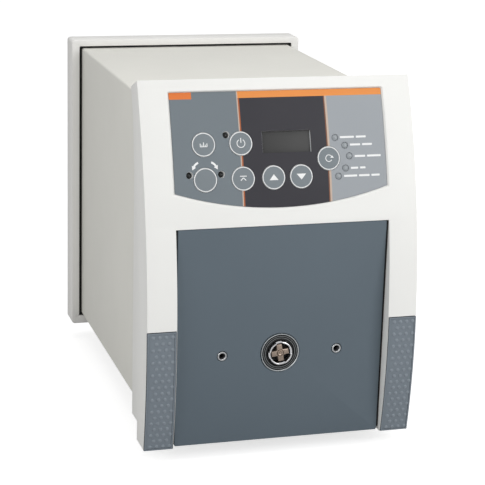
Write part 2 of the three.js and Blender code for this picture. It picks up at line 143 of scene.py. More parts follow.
def drawn(name, outline, along, start, end):
    """An outline drawn square to X, Y or Z and pulled from start to end, in millimetres."""
    put_down()
    bpy.ops.mesh.primitive_circle_add(vertices=len(outline), radius=1, fill_type="NGON")
    piece = bpy.context.object
    piece.name = name
    axis = "XYZ".index(along)
    flat = [i for i in range(3) if i != axis]
    for vertex, point in zip(piece.data.vertices, outline):
        vertex.co[axis] = start * MM
        vertex.co[flat[0]], vertex.co[flat[1]] = point[0] * MM, point[1] * MM
    shift = [0.0, 0.0, 0.0]
    shift[axis] = (end - start) * MM
    bpy.ops.object.mode_set(mode="EDIT")
    bpy.ops.mesh.select_all(action="SELECT")
    bpy.ops.mesh.extrude_region_move(TRANSFORM_OT_translate={"value": shift})
    bpy.ops.mesh.select_all(action="SELECT")
    bpy.ops.mesh.normals_make_consistent(inside=False)
    bpy.ops.object.mode_set(mode="OBJECT")
    return apply_place(piece)


def spun(name, profile, steps=48, closed=False):
    """A profile of (radius, y) spun about the Y axis; an open one starts and ends on the axis."""
    put_down()
    bpy.ops.mesh.primitive_circle_add(vertices=len(profile), radius=1, fill_type="NOTHING")
    piece = bpy.context.object
    piece.name = name
    for vertex, (radius, y) in zip(piece.data.vertices, profile):
        vertex.co = (radius * MM, y * MM, 0.0)
    if not closed:
        pick_edges(piece, lambda edge: set(edge.vertices) == {0, len(profile) - 1})
        bpy.ops.mesh.delete(type="EDGE")
        bpy.ops.object.mode_set(mode="OBJECT")
    bpy.ops.object.mode_set(mode="EDIT")
    bpy.ops.mesh.select_mode(type="VERT")
    bpy.ops.mesh.select_all(action="SELECT")
    bpy.ops.mesh.spin(steps=steps, angle=2 * math.pi, center=(0, 0, 0), axis=(0, 1, 0))
    bpy.ops.mesh.select_all(action="SELECT")
    bpy.ops.mesh.remove_doubles(threshold=1e-6)
    bpy.ops.mesh.normals_make_consistent(inside=False)
    bpy.ops.object.mode_set(mode="OBJECT")
    return apply_place(piece)


def peg(name, radius, start, end, steps):
    """A plain round peg about the Y axis."""
    return spun(name, [(0, start), (radius, start), (radius, end), (0, end)], steps)


def modify(piece, kind, **settings):
    pick_up(piece)
    bpy.ops.object.modifier_add(type=kind)
    modifier = piece.modifiers[-1]
    for key, value in settings.items():
        setattr(modifier, key, value)
    bpy.ops.object.modifier_apply(modifier=modifier.name)
    return piece


def combine(piece, tools, operation):
    for tool in tools:
        modify(piece, "BOOLEAN", object=tool, operation=operation, solver="EXACT")
        bpy.data.objects.remove(tool)
    return piece


def cut_away(piece, *tools):
    return combine(piece, tools, "DIFFERENCE")


def keep_inside(piece, tool):
    return combine(piece, [tool], "INTERSECT")


def fuse(piece, *tools):
    return combine(piece, tools, "UNION")


def soften(piece, width, segments=3, angle=30):
    return modify(piece, "BEVEL", width=width * MM, segments=segments, limit_method="ANGLE",
                  angle_limit=math.radians(angle), use_clamp_overlap=True)


def smooth(piece, angle=28):
    pick_up(piece)
    bpy.ops.object.shade_smooth_by_angle(angle=math.radians(angle))
    return piece


def gather(name, pieces):
    """Several bodies of one piece, joined."""
    put_down()
    for piece in pieces:
        piece.select_set(True)
    bpy.context.view_layer.objects.active = pieces[0]
    bpy.ops.object.join()
    pieces[0].name = name
    return pieces[0]


def copy_of(piece):
    """A copy with its own mesh."""
    twin = piece.copy()
    twin.data = piece.data.copy()
    bpy.context.scene.collection.objects.link(twin)
    return twin


def moved(piece, x=0.0, y=0.0, z=0.0, turn_y=0.0):
    piece.rotation_euler = (0.0, turn_y, 0.0)
    piece.location = (x * MM, y * MM, z * MM)
    return apply_place(piece)


def dress(piece, *materials):
    piece.data.materials.clear()
    for material in materials:
        piece.data.materials.append(material)
    return piece


def settle(piece, body, slot, *nodes):
    """The piece rides on its body and stands for its nodes."""
    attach(piece, body)
    if nodes:
        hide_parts(*nodes)
    put_down()
    return piece


# ---------------- outlines
def rounded(u0, u1, v0, v1, r, steps=6):
    """A rectangle with round corners."""
    points = []
    corners = ((u1 - r, v0 + r, -90), (u1 - r, v1 - r, 0), (u0 + r, v1 - r, 90), (u0 + r, v0 + r, 180))
    for cu, cv, start in corners:
        for i in range(steps + 1):
            a = math.radians(start + 90 * i / steps)
            points.append((cu + r * math.cos(a), cv + r * math.sin(a)))
    return points


def arc_y(z, out=0.0):
    """The Y of the hood's curve at a height, or of a curve that far outside it."""
    return ARC_Y + ARC_R - math.sqrt((ARC_R + out) ** 2 - (z - ARC_Z) ** 2)


def arc_line(z0, z1, out, steps):
    heights = [z0 + (z1 - z0) * i / steps for i in range(steps + 1)]
    return [(arc_y(z, out), z) for z in heights]


def arc_slab(name, x0, x1, z0, z1, inner, outer, steps):
    outline = arc_line(z0, z1, outer, steps) + arc_line(z1, z0, inner, steps)
    return drawn(name, outline, "X", x0, x1)


def on_curve(piece, x, s):
    """Turns a piece made around the Y axis out of the hood's curve at (x, s) along it."""
    lean = s / ARC_R
    piece.rotation_euler = (-lean, 0.0, 0.0)
    piece.location = (x * MM, (ARC_Y + ARC_R * (1 - math.cos(lean))) * MM,
                      (ARC_Z + ARC_R * math.sin(lean)) * MM)
    return apply_place(piece)


def sheet_outline(grow):
    """The panel's outline, which bows down at its foot, made larger all round by grow."""
    half = SHEET_HALF + grow
    bow = (SHEET_HALF ** 2 + SHEET_DIP ** 2) / (2 * SHEET_DIP)
    centre = SHEET_CORNER - SHEET_DIP + bow
    points, foot_steps, r = [], 48, 0.6
    for i in range(foot_steps + 1):
        x = -half + 2 * half * i / foot_steps
        points.append((x, centre - math.sqrt((bow + grow) ** 2 - x ** 2)))
    for side in (1, -1):
        for i in range(7):
            a = math.radians(15 * i if side > 0 else 90 + 15 * i)
            points.append((side * (half - r) + r * math.cos(a), SHEET_TOP + grow - r + r * math.sin(a)))
    return points


# ---------------- shared shader effects
def new_group(name, inputs, outputs):
    group = bpy.data.node_groups.new(name, "ShaderNodeTree")
    for label, kind, value in inputs:
        socket = group.interface.new_socket(name=label, in_out="INPUT", socket_type=kind)
        socket.default_value = value
    for label, kind in outputs:
        group.interface.new_socket(name=label, in_out="OUTPUT", socket_type=kind)
    return group, group.nodes.new("NodeGroupInput"), group.nodes.new("NodeGroupOutput")


def feed(tree, socket, value):
    """Links another socket to this one, or sets its value."""
    if isinstance(value, bpy.types.NodeSocket):
        tree.links.new(value, socket)
    else:
        socket.default_value = value


def add_math(tree, operation, first, second, clamp=False):
    node = tree.nodes.new("ShaderNodeMath")
    node.operation = operation
    node.use_clamp = clamp
    feed(tree, node.inputs[0], first)
    feed(tree, node.inputs[1], second)
    return node.outputs[0]


def add_noise(tree, place, scale, detail=2.0, roughness=0.5):
    node = tree.nodes.new("ShaderNodeTexNoise")
    node.inputs["Detail"].default_value = detail
    node.inputs["Roughness"].default_value = roughness
    tree.links.new(place, node.inputs["Vector"])
    feed(tree, node.inputs["Scale"], scale)
    return node.outputs["Fac"]


def add_range(tree, value, low, high, to_low, to_high):
    node = tree.nodes.new("ShaderNodeMapRange")
    for label, given in (("From Min", low), ("From Max", high), ("To Min", to_low), ("To Max", to_high),
                         ("Value", value)):
        feed(tree, node.inputs[label], given)
    return node.outputs["Result"]


def make_moulded_skin():
    """Fine grain for the surface's height, with slow drifts of tone and of polish."""
    group, given, result = new_group(
        "moulded_skin",
        [("Grain Scale", "NodeSocketFloat", 1500.0), ("Tone Drift", "NodeSocketFloat", 0.03),
         ("Roughness", "NodeSocketFloat", 0.45), ("Polish Drift", "NodeSocketFloat", 0.06)],
        [("Height", "NodeSocketFloat"), ("Tone", "NodeSocketFloat"), ("Roughness", "NodeSocketFloat")])
    place = group.nodes.new("ShaderNodeTexCoord").outputs["Object"]
    grain = add_noise(group, place, given.outputs["Grain Scale"], 3.0, 0.6)
    cloud = add_noise(group, place, 14.0, 3.0, 0.55)
    handling = add_noise(group, place, 45.0, 4.0, 0.6)
    swing, polish = [add_math(group, "MULTIPLY", add_range(group, cause, 0.3, 0.7, -1.0, 1.0),
                              given.outputs[label])
                     for cause, label in ((cloud, "Tone Drift"), (handling, "Polish Drift"))]
    group.links.new(grain, result.inputs["Height"])
    group.links.new(add_math(group, "ADD", swing, 1.0), result.inputs["Tone"])
    group.links.new(add_math(group, "ADD", given.outputs["Roughness"], polish, clamp=True),
                    result.inputs["Roughness"])
    return group


def make_turned_lines():
    """Fine tool lines round the Y axis through the drive shaft."""
    group, given, result = new_group(
        "turned_lines",
        [("Centre", "NodeSocketVector", (0.0, 0.0, 0.064)), ("Line Scale", "NodeSocketFloat", 5200.0)],
        [("Height", "NodeSocketFloat")])
    place = group.nodes.new("ShaderNodeTexCoord").outputs["Object"]
    shift = group.nodes.new("ShaderNodeVectorMath")
    shift.operation = "SUBTRACT"
    group.links.new(place, shift.inputs[0])
    group.links.new(given.outputs["Centre"], shift.inputs[1])
    split = group.nodes.new("ShaderNodeSeparateXYZ")
    group.links.new(shift.outputs[0], split.inputs[0])
    across = add_math(group, "MULTIPLY", split.outputs["X"], split.outputs["X"])
    upward = add_math(group, "MULTIPLY", split.outputs["Z"], split.outputs["Z"])
    radius = add_math(group, "SQRT", add_math(group, "ADD", across, upward), 0.0)
    reach = add_math(group, "ADD", radius, add_math(group, "MULTIPLY", split.outputs["Y"], 0.6))
    lines = group.nodes.new("ShaderNodeTexNoise")
    lines.noise_dimensions = "1D"
    lines.inputs["Detail"].default_value = 2.0
    group.links.new(reach, lines.inputs["W"])
    group.links.new(given.outputs["Line Scale"], lines.inputs["Scale"])
    group.links.new(lines.outputs["Fac"], result.inputs["Height"])
    return group


MOULDED_SKIN = make_moulded_skin()
TURNED_LINES = make_turned_lines()


# ---------------- materials
def linear(red, green, blue):
    """Linear colour of a shade given in 0 to 255 steps."""
    return tuple(((c / 255 + 0.055) / 1.055) ** 2.4 if c > 10 else c / 255 / 12.92
                 for c in (red, green, blue)) + (1.0,)


def moulded(name, shade, roughness, grain=1500.0, depth=0.02, drift=0.03, polish=0.06,
            metallic=0.0, specular=0.5):
    """A skinned finish: even colour with a slow drift, fine grain and uneven polish."""
    material = bpy.data.materials.new(name)
    material.use_nodes = True
    tree = material.node_tree
    shader = tree.nodes["Principled BSDF"]
    shader.inputs["Metallic"].default_value = metallic
    shader.inputs["Specular IOR Level"].default_value = specular
    skin = tree.nodes.new("ShaderNodeGroup")
    skin.node_tree = MOULDED_SKIN
    skin.inputs["Grain Scale"].default_value = grain
    skin.inputs["Tone Drift"].default_value = drift
    skin.inputs["Roughness"].default_value = roughness
    skin.inputs["Polish Drift"].default_value = polish
    colour = tree.nodes.new("ShaderNodeMix")
    colour.data_type = "RGBA"
    colour.blend_type = "MULTIPLY"
    colour.inputs["Factor"].default_value = 1.0
    colour.inputs["A"].default_value = linear(*shade)
    tree.links.new(skin.outputs["Tone"], colour.inputs["B"])
    tree.links.new(colour.outputs["Result"], shader.inputs["Base Color"])
    tree.links.new(skin.outputs["Roughness"], shader.inputs["Roughness"])
    bump = tree.nodes.new("ShaderNodeBump")
    bump.inputs["Strength"].default_value = 0.5
    bump.inputs["Distance"].default_value = depth * MM
    tree.links.new(skin.outputs["Height"], bump.inputs["Height"])
    tree.links.new(bump.outputs["Normal"], shader.inputs["Normal"])
    return material


def set_relief(material, height, depth):
    """Puts another height, in millimetres deep, in place of the plain grain."""
    tree = material.node_tree
    bump = next(n for n in tree.nodes if n.bl_idname == "ShaderNodeBump")
    bump.inputs["Distance"].default_value = depth * MM
    tree.links.new(height, bump.inputs["Height"])
    return material


def printed_film(name, shade):
    """Ink under a fine matt film."""
    return moulded(name, shade, 0.46, grain=4200, depth=0.006, drift=0.012, polish=0.04, specular=0.25)


def machined(name, shade, roughness, centre):
    """Metal turned on a lathe about the axis along Y through the centre."""
    material = moulded(name, shade, roughness, drift=0.05, polish=0.05, metallic=1.0)
    tree = material.node_tree
    turned = tree.nodes.new("ShaderNodeGroup")
    turned.node_tree = TURNED_LINES
    turned.inputs["Centre"].default_value = [c * MM for c in centre]
    turned.inputs["Line Scale"].default_value = 5200.0
    return set_relief(material, turned.outputs["Height"], 0.012)


def brushed(name, shade, roughness):
    """Sheet alloy with fine strokes across it."""
    material = moulded(name, shade, roughness, drift=0.03, polish=0.05, metallic=1.0)
    tree = material.node_tree
    stretch = tree.nodes.new("ShaderNodeMapping")
    stretch.inputs["Scale"].default_value = (60.0, 1200.0, 6000.0)
    tree.links.new(tree.nodes.new("ShaderNodeTexCoord").outputs["Object"], stretch.inputs["Vector"])
    return set_relief(material, add_noise(tree, stretch.outputs["Vector"], 1.0, 3.0, 0.6), 0.02)


DRIVE_AXIS = (0.0, 0.0, SHAFT_Z)
hood_white = moulded("hood_white", (239, 239, 236), 0.42,
                     grain=2600, depth=0.012, drift=0.012, specular=0.3)
# painted shade: the rear frame is the hood's white plastic, painted a little darker for the shade on its
# faces
frame_white_shaded = moulded("frame_white_shaded", (234, 233, 230), 0.45,
                      grain=2600, depth=0.012, drift=0.012, specular=0.3)
casing_coat = moulded("casing_coat", (229, 228, 221), 0.55,
                      grain=1300, depth=0.05, drift=0.015, specular=0.3)
plate_paint = moulded("plate_paint", (92, 104, 113), 0.5,
                      grain=1600, depth=0.03, drift=0.02, specular=0.35)
pad_rubber = moulded("pad_rubber", (119, 128, 136), 0.62,
                     grain=2200, depth=0.04, drift=0.03, specular=0.3)
# painted shade and painted highlight: the pad's side faces take a darker copy of its rubber, the dots a
# lighter one
pad_side_shade = moulded("pad_side_shade", (58, 64, 70), 0.65, grain=2200, depth=0.04, specular=0.2)
pad_stud_highlight = moulded("pad_stud_highlight", (129, 138, 146), 0.55, grain=2200, depth=0.03, drift=0.03, specular=0.4)
tube_white = printed_film("tube_white", (240, 241, 240))
tube_pale = printed_film("tube_pale", (206, 210, 213))
print_white = printed_film("print_white", (240, 241, 241))
key_face = printed_film("key_face", (124, 132, 137))
lens_dark = moulded("lens_dark", (30, 32, 33), 0.3, grain=3000, depth=0.003, specular=0.4)
lens_grey = moulded("lens_grey", (150, 156, 160), 0.3, grain=3000, depth=0.003, specular=0.5)
smoked = moulded("smoked", (70, 70, 70), 0.42,
                 grain=3000, depth=0.002, drift=0.02, polish=0.03, specular=0.2)
seal_rubber = moulded("seal_rubber", (34, 35, 36), 0.42, grain=2600, depth=0.02)
seal_crest_highlight = moulded("seal_crest_highlight", (112, 115, 116), 0.4, grain=2600, depth=0.01)
# black rubber of the rear gasket; also painted shadow in the gaps beside the front plate
gasket_black_and_gap_shade = moulded("gasket_black_and_gap_shade", (9, 9, 10), 0.8, grain=1800, depth=0.05)
foot_rubber = moulded("foot_rubber", (38, 38, 40), 0.75, grain=1500, depth=0.06)
black_mould = moulded("black_mould", (30, 30, 32), 0.45, grain=1700, depth=0.04)
sheet_alloy = moulded("sheet_alloy", (196, 198, 200), 0.38, grain=1400, depth=0.02, metallic=1.0)
brushed_alloy = brushed("brushed_alloy", (205, 206, 207), 0.4)
label_silver = brushed("label_silver", (226, 227, 228), 0.34)
nickel = moulded("nickel", (214, 212, 206), 0.25, grain=1600, depth=0.006, metallic=1.0)
board_green = moulded("board_green", (36, 92, 60), 0.45)
chrome_ring = machined("chrome_ring", (236, 236, 238), 0.14, DRIVE_AXIS)
bright_ring = machined("bright_ring", (206, 210, 212), 0.28, DRIVE_AXIS)
bronze = moulded("bronze", (172, 156, 143), 0.34,
                 grain=900, depth=0.09, drift=0.12, polish=0.14, metallic=1.0)
shaft_steel = machined("shaft_steel", (176, 178, 180), 0.3, DRIVE_AXIS)
insert_left_steel = machined("insert_left_steel", (202, 204, 206), 0.24, (-INSERT_X, 0.0, SHAFT_Z))
insert_right_steel = machined("insert_right_steel", (202, 204, 206), 0.24, (INSERT_X, 0.0, SHAFT_Z))
# painted shade: near-black for the coupling cup's floor
cup_floor_shade = moulded("cup_floor_shade", (14, 14, 15), 0.8)
# painted shade: the inserts' threads and bore floor are darkened steel
bore_shade = moulded("bore_shade", (58, 58, 60), 0.4, metallic=1.0)


# ---------------- front hood
PANEL_LOW, PANEL_HIGH = 148.0, 222.0                   # the panel lies between these heights
AHEAD, BEHIND = -140.0, -60.0                          # tools that cut through reach between these
BED_DEPTH, SHEET_FACE, SHEET_BACK = 1.5, 0.8, 1.3      # below the hood's curve
BED_GAP, BED_CHAMFER = 0.3, 0.9
FACE_SLACK, EDGE_SLACK, END_SLACK = 0.06, 0.04, 0.05   # how near a point counts as on the bed's rim
PAD_INNER, PAD_BED, PAD_GAP = 65.6, 1.6, 0.3           # a hair of the arm's edge shows beside the pad
CASING_GAP = 0.3
BAY_BACK, BAY_WALL = -103.9, 2.5
STEM_R, LAMP_R = 2.6, 2.1
HOOD_BACK = [(-79, 219), (-84.3, 203), (-89.3, 170), (-90.5, 20.8), (-104, 20.8), (-103.6, HOOD_FOOT)]
HOLLOW_BACK = [(-81.8, 216.3), (-87.1, 202.6), (-92.1, 169.6), (-93.3, 23.6), (-106.8, 23.6),
               (-106.4, HOOD_FOOT + HOOD_SKIN)]


def on_bed_rim(point, outline):
    """Whether a point of the hood lies where its face meets the panel's bed."""
    x, y, z = (c / MM for c in point)
    if z < PANEL_LOW or abs(y - arc_y(z)) > FACE_SLACK:
        return False
    for (x0, z0), (x1, z1) in zip(outline, outline[1:] + outline[:1]):
        length = math.hypot(x1 - x0, z1 - z0)
        if length > 1e-6:
            reach = ((x - x0) * (x1 - x0) + (z - z0) * (z1 - z0)) / length
            gap = abs((x - x0) * (z1 - z0) - (z - z0) * (x1 - x0)) / length
            if -END_SLACK <= reach <= length + END_SLACK and gap < EDGE_SLACK:
                return True
    return False


def chamfer_bed(hood):
    """A plain chamfer all round the edge where the panel's bed meets the hood's face."""
    outline = sheet_outline(BED_GAP)
    rim = [on_bed_rim(vertex.co, outline) for vertex in hood.data.vertices]
    pick_edges(hood, lambda edge: all(rim[i] for i in edge.vertices))
    bpy.ops.mesh.bevel(offset=BED_CHAMFER * MM, segments=1, affect="EDGES", clamp_overlap=False)
    bpy.ops.object.mode_set(mode="OBJECT")
    return hood


def panel_holes(key_r, key_steps, back):
    """Tools for the window's, the keys' and the lamps' holes, as deep as back."""
    front = -3
    tools = [on_curve(block("window_hole", (-GLASS_W, front, -GLASS_H), (GLASS_W, back, GLASS_H)), *GLASS_AT)]
    tools += [on_curve(peg("key_hole", key_r, front, back, key_steps), x, s) for x, s in KEYS.values()]
    tools += [on_curve(peg("lamp_hole", LAMP_R, front, back, 32), x, s) for x, s in LAMPS.values()]
    return tools


def make_hood():
    hood = drawn("front_hood_shell", arc_line(HOOD_FOOT, HOOD_TOP, 0, 60) + HOOD_BACK, "X",
                 -HOOD_HALF, HOOD_HALF)
    cut_away(hood, block("bay", (-ARM_INNER, AHEAD, 0), (ARM_INNER, BAY_BACK, BAY_TOP)))
    soften(hood, 1.3, 4)
    inside, wall, gap = HOOD_HALF - HOOD_SKIN, ARM_INNER + BAY_WALL, CASING_GAP
    hollow = drawn("hollow", arc_line(HOOD_FOOT + HOOD_SKIN, HOOD_TOP - 3.4, -HOOD_SKIN, 40)
                   + HOLLOW_BACK, "X", -inside, inside)
    cut_away(hollow, block("bay_walls", (-wall, AHEAD, -5), (wall, BAY_BACK, BAY_TOP + BAY_WALL)))
    mouth = block("mouth", (-BODY_HALF - gap, BODY_FRONT - 1.3, BODY_LOW - gap),
                  (BODY_HALF + gap, BEHIND, BODY_HIGH + gap))
    sheet_bed = keep_inside(drawn("sheet_bed", sheet_outline(BED_GAP), "Y", AHEAD, BEHIND),
                            arc_slab("bed_depth", -70, 70, PANEL_LOW, PANEL_HIGH, -BED_DEPTH, 4, 40))
    cut_away(hood, hollow, mouth, sheet_bed)
    chamfer_bed(hood)
    cut_away(hood, *[arc_slab("pad_bed", x, x + 19, 4, PAD_TOP + PAD_GAP, -PAD_BED, 4, 30)
                     for x in (-PAD_INNER - 18.85, PAD_INNER - 0.15)])
    cut_away(hood, *panel_holes(STEM_R, 16, 8))
    dress(smooth(hood), hood_white)
    settle(hood, "unit", "hood_white", "front_hood")


STUD_R, STUD_FLATTENED = 1.2, 0.42
STUD_ROWS, ROW_PITCH, STUD_PITCH, FIRST_ROW = 19, 3.86, 3.9, 2.6
RIM_W = 1.2


def make_grip_pads():
    """Pads on the lower arms, with a rim and offset rows of small raised dots; the dots are painted lighter
    as painted highlight and the side faces darker as painted shade.
    """
    for side, node in ((-1, "left_grip_pad"), (1, "right_grip_pad")):
        low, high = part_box(node)
        x0, x1 = (low.x / MM, -PAD_INNER) if side < 0 else (PAD_INNER, high.x / MM)
        pad = arc_slab(node + "_body", x0, x1, HOOD_FOOT, PAD_TOP, -1.3, 0.0, 40)
        soften(pad, 0.5, 3)
        rim = arc_slab("rim", x0 + 0.1, x1 - 0.1, HOOD_FOOT + 0.1, PAD_TOP - 0.1, -0.6, 0.3, 40)
        cut_away(rim, arc_slab("rim_field", x0 + RIM_W, x1 - RIM_W, HOOD_FOOT + RIM_W, PAD_TOP - RIM_W,
                               -2, 2, 40))
        soften(rim, 0.22, 2)
        first = ARC_R * math.asin((HOOD_FOOT - ARC_Z) / ARC_R) + FIRST_ROW
        middle = (x0 + x1) / 2 + 0.7
        put_down()
        bpy.ops.mesh.primitive_uv_sphere_add(segments=14, ring_count=8, radius=STUD_R * MM)
        # painted highlight: the dots are painted lighter than the pad's rubber, standing for light on their
        # tops
        master = dress(bpy.context.object, pad_stud_highlight)
        master.scale = (1.0, STUD_FLATTENED, 1.0)
        apply_place(master)
        studs = []
        for row in range(STUD_ROWS):
            count = 3 if row % 2 else 4
            for column in range(count):
                x = middle + (column - (count - 1) / 2) * STUD_PITCH
                studs.append(on_curve(copy_of(master), x, first + row * ROW_PITCH))
        bpy.data.objects.remove(master)
        studs = gather("studs", studs)
        for part in (pad, rim):                        # painted shade: the sides are painted darker than the faces
            dress(part, pad_rubber, pad_side_shade)
            for face in part.data.polygons:
                if face.normal.y > -0.8:
                    face.material_index = 1
        piece = gather(node + "_skin", [pad, rim, studs])
        smooth(piece, 50)
        settle(piece, "unit", "grip_slate", node)


# ---------------- control panel
LEFT_LINE, RIGHT_LINE = (-24.7, -24.0, -23.2), (28.4, 29.1, 30.3)
BAND_S = 148.2                                         # where the orange band starts, along the curve
CORNER_BAR = -51.7
SHEET_FILMS = {
    "print_grey": (116, 125, 131), "print_dark": (52, 51, 57), "print_pale": (158, 163, 168),
    "print_orange": (232, 146, 74), "print_line": (172, 96, 56), "print_brown": (132, 88, 66),
    "divider_strip_highlight": (198, 178, 162), "print_amber": (226, 122, 58),
}
ORANGE, AMBER = 3, 7
FIELD_FILMS = (0, 6, 4, 1, 5, 6, 2)                    # from left to right across the sheet; the pale strips beside the two lines are painted highlight


def cut_lines(piece, planes):
    """Cuts edges across the piece where a printed field starts or ends; planes are (axis, mm)."""
    pick_up(piece)
    bpy.ops.object.mode_set(mode="EDIT")
    for axis, at in planes:
        spot, normal = [0.0, 0.0, 0.0], [0.0, 0.0, 0.0]
        spot["XYZ".index(axis)], normal["XYZ".index(axis)] = at * MM, 1.0
        bpy.ops.mesh.select_all(action="SELECT")
        bpy.ops.mesh.bisect(plane_co=spot, plane_no=normal)
    bpy.ops.object.mode_set(mode="OBJECT")
    return piece


def make_sheet():
    """The printed membrane: three fields, an orange band with a separate corner bar, two thin lines with pale
    strips beside them that are painted highlight.
    """
    sheet = keep_inside(drawn("keypad_membrane", sheet_outline(0), "Y", AHEAD, BEHIND),
                        arc_slab("sheet_depth", -70, 70, PANEL_LOW, PANEL_HIGH, -SHEET_BACK, -SHEET_FACE, 40))
    band = ARC_Z + ARC_R * math.sin(BAND_S / ARC_R)
    cut_lines(sheet, [("X", x) for x in (*LEFT_LINE, *RIGHT_LINE, CORNER_BAR)] + [("Z", band)])
    cut_away(sheet, *panel_holes(KEY_R + 0.3, 56, 3))
    fields = tuple(zip((*LEFT_LINE, *RIGHT_LINE, SHEET_HALF + 1), FIELD_FILMS))
    dress(sheet, *[printed_film(name, shade) for name, shade in SHEET_FILMS.items()])
    for face in sheet.data.polygons:
        x, z = face.center.x / MM, face.center.z / MM
        if z > band and x > LEFT_LINE[1]:
            face.material_index = ORANGE
        elif z > band and x < CORNER_BAR:
            face.material_index = AMBER
        else:
            face.material_index = next(index for edge, index in fields if x < edge)
    smooth(sheet)
    settle(sheet, "unit", "panel_print", "keypad_sheet")


def printed(name, outline, x, s, out=-SHEET_FACE):
    """A flat printed mark of one closed outline in (across, up), laid on the panel at (x, s)."""
    thick, sunk = 0.05, 0.1
    return on_curve(drawn(name, outline, "Y", -out - thick, -out + sunk), x, s)


def ring_mark(inner, outer, start, end, steps=24):
    points = []
    for radius, order in ((outer, range(steps + 1)), (inner, range(steps, -1, -1))):
        for i in order:
            a = math.radians(start + (end - start) * i / steps)
            points.append((radius * math.cos(a), radius * math.sin(a)))
    return points


def bar_mark(u0, v0, u1, v1, half):
    length = math.hypot(u1 - u0, v1 - v0)
    nu, nv = -(v1 - v0) / length * half, (u1 - u0) / length * half
    return [(u0 + nu, v0 + nv), (u0 - nu, v0 - nv), (u1 - nu, v1 - nv), (u1 + nu, v1 + nv)]


KEY_MARKS = {
    "key_calibrate": [bar_mark(-2.0, -1.2, 2.0, -1.2, 0.25), bar_mark(-2.0, -1.3, -2.0, 0.6, 0.25),
                      bar_mark(2.0, -1.3, 2.0, 0.6, 0.25), bar_mark(0, -1.3, 0, 1.3, 0.25),
                      bar_mark(-1.0, -1.3, -1.0, 0.0, 0.2), bar_mark(1.0, -1.3, 1.0, 0.0, 0.2)],
    "key_power": [ring_mark(2.15, 2.6, 120, 420), bar_mark(0, 0.3, 0, 3.2, 0.23)],
    "key_direction": [],
    "key_maximum": [bar_mark(-1.6, -1.1, 0.0, 0.5, 0.25), bar_mark(1.6, -1.1, 0.0, 0.5, 0.25),
                    bar_mark(-2.0, 1.4, 2.0, 1.4, 0.25)],
    "key_up": [[(-2.7, -1.6), (2.7, -1.6), (0.0, 1.9)]],
    "key_down": [[(-2.9, 1.6), (0.0, -1.9), (2.9, 1.6)]],
    "key_select": [ring_mark(1.75, 2.15, 30, 330), [(0.9, 0.2), (3.0, 0.2), (1.95, 1.7)]],
}
KEY_FACE = 0.5                                         # below the hood's curve, as the other depths are
KEY_PROFILE = [
    (0, KEY_FACE - 0.16), (3.2, KEY_FACE - 0.13), (5.4, KEY_FACE - 0.04), (6.32, KEY_FACE),
    (6.38, KEY_FACE - 0.1), (6.76, KEY_FACE - 0.1), (6.88, KEY_FACE), (KEY_R, KEY_FACE + 0.2),
    (KEY_R, 0.95), (2.1, 0.95), (2.1, 3.9), (0, 3.9)]
KEY_RIM = (6.32, 6.85)
SIGN_FACE = 0.16 - KEY_FACE


def make_keys():
    """Seven round keys: one cap with a white rim, copied, each with its own sign."""
    cap = spun("key_cap", KEY_PROFILE, 64)
    dress(cap, key_face, print_white)
    for face in cap.data.polygons:
        radius = math.hypot(face.center.x, face.center.z) / MM
        if KEY_RIM[0] < radius < KEY_RIM[1] and face.center.y < (KEY_FACE + 0.1) * MM:
            face.material_index = 1
    smooth(cap, 40)
    for name, (x, s) in KEYS.items():
        body = on_curve(copy_of(cap), x, s)
        marks = [dress(printed("mark", outline, x, s, SIGN_FACE), print_white) for outline in KEY_MARKS[name]]
        key = gather(name + "_cap", [body] + marks)
        settle(key, name, "key_grey", name)
    bpy.data.objects.remove(cap)


LOW_LENS = [(0, 2.1), (0.6, 2.17), (1.05, 2.4), (1.35, 2.75), (1.5, 3.2), (1.5, 4.4), (0, 4.4)]
LOW_TUBE = [(2.06, 0.84), (1.82, 2.6), (1.82, 4.2), (2.06, 4.2)]
HIGH_LENS = [(0, 0.5), (0.7, 0.56), (1.3, 0.74), (1.7, 1.0), (1.92, 1.35), (1.92, 2.4), (0, 2.4)]
HIGH_TUBE = [(2.06, 1.3), (1.95, 1.4), (1.95, 4.2), (2.06, 4.2)]
LOW_LAMPS = ("lamp_power", "lamp_left", "lamp_right")


def make_lamps():
    """Lenses in light tubes; the five by the legends are full domes near the face."""
    low = spun("lens", LOW_LENS, 32), spun("tube", LOW_TUBE, 40, closed=True), lens_dark, tube_white
    high = spun("lens", HIGH_LENS, 40), spun("tube", HIGH_TUBE, 40, closed=True), lens_grey, tube_pale
    for name, (x, s) in LAMPS.items():
        lens, tube, glass, white = low if name in LOW_LAMPS else high
        lamp = gather(name + "_lens", [on_curve(dress(copy_of(lens), glass), x, s),
                                       on_curve(dress(copy_of(tube), white), x, s)])
        settle(smooth(lamp, 50), "unit", "lamp_lens", name)
    for master in (*low[:2], *high[:2]):
        bpy.data.objects.remove(master)


BEND_R, BEND_START, BEND_STEP, BEND_STEPS = 5.0, 20, 7, 6
SHAFT_HALF, HEAD_HALF, HEAD_LENGTH, HEAD_OVERLAP = 0.58, 1.35, 2.1, 0.2


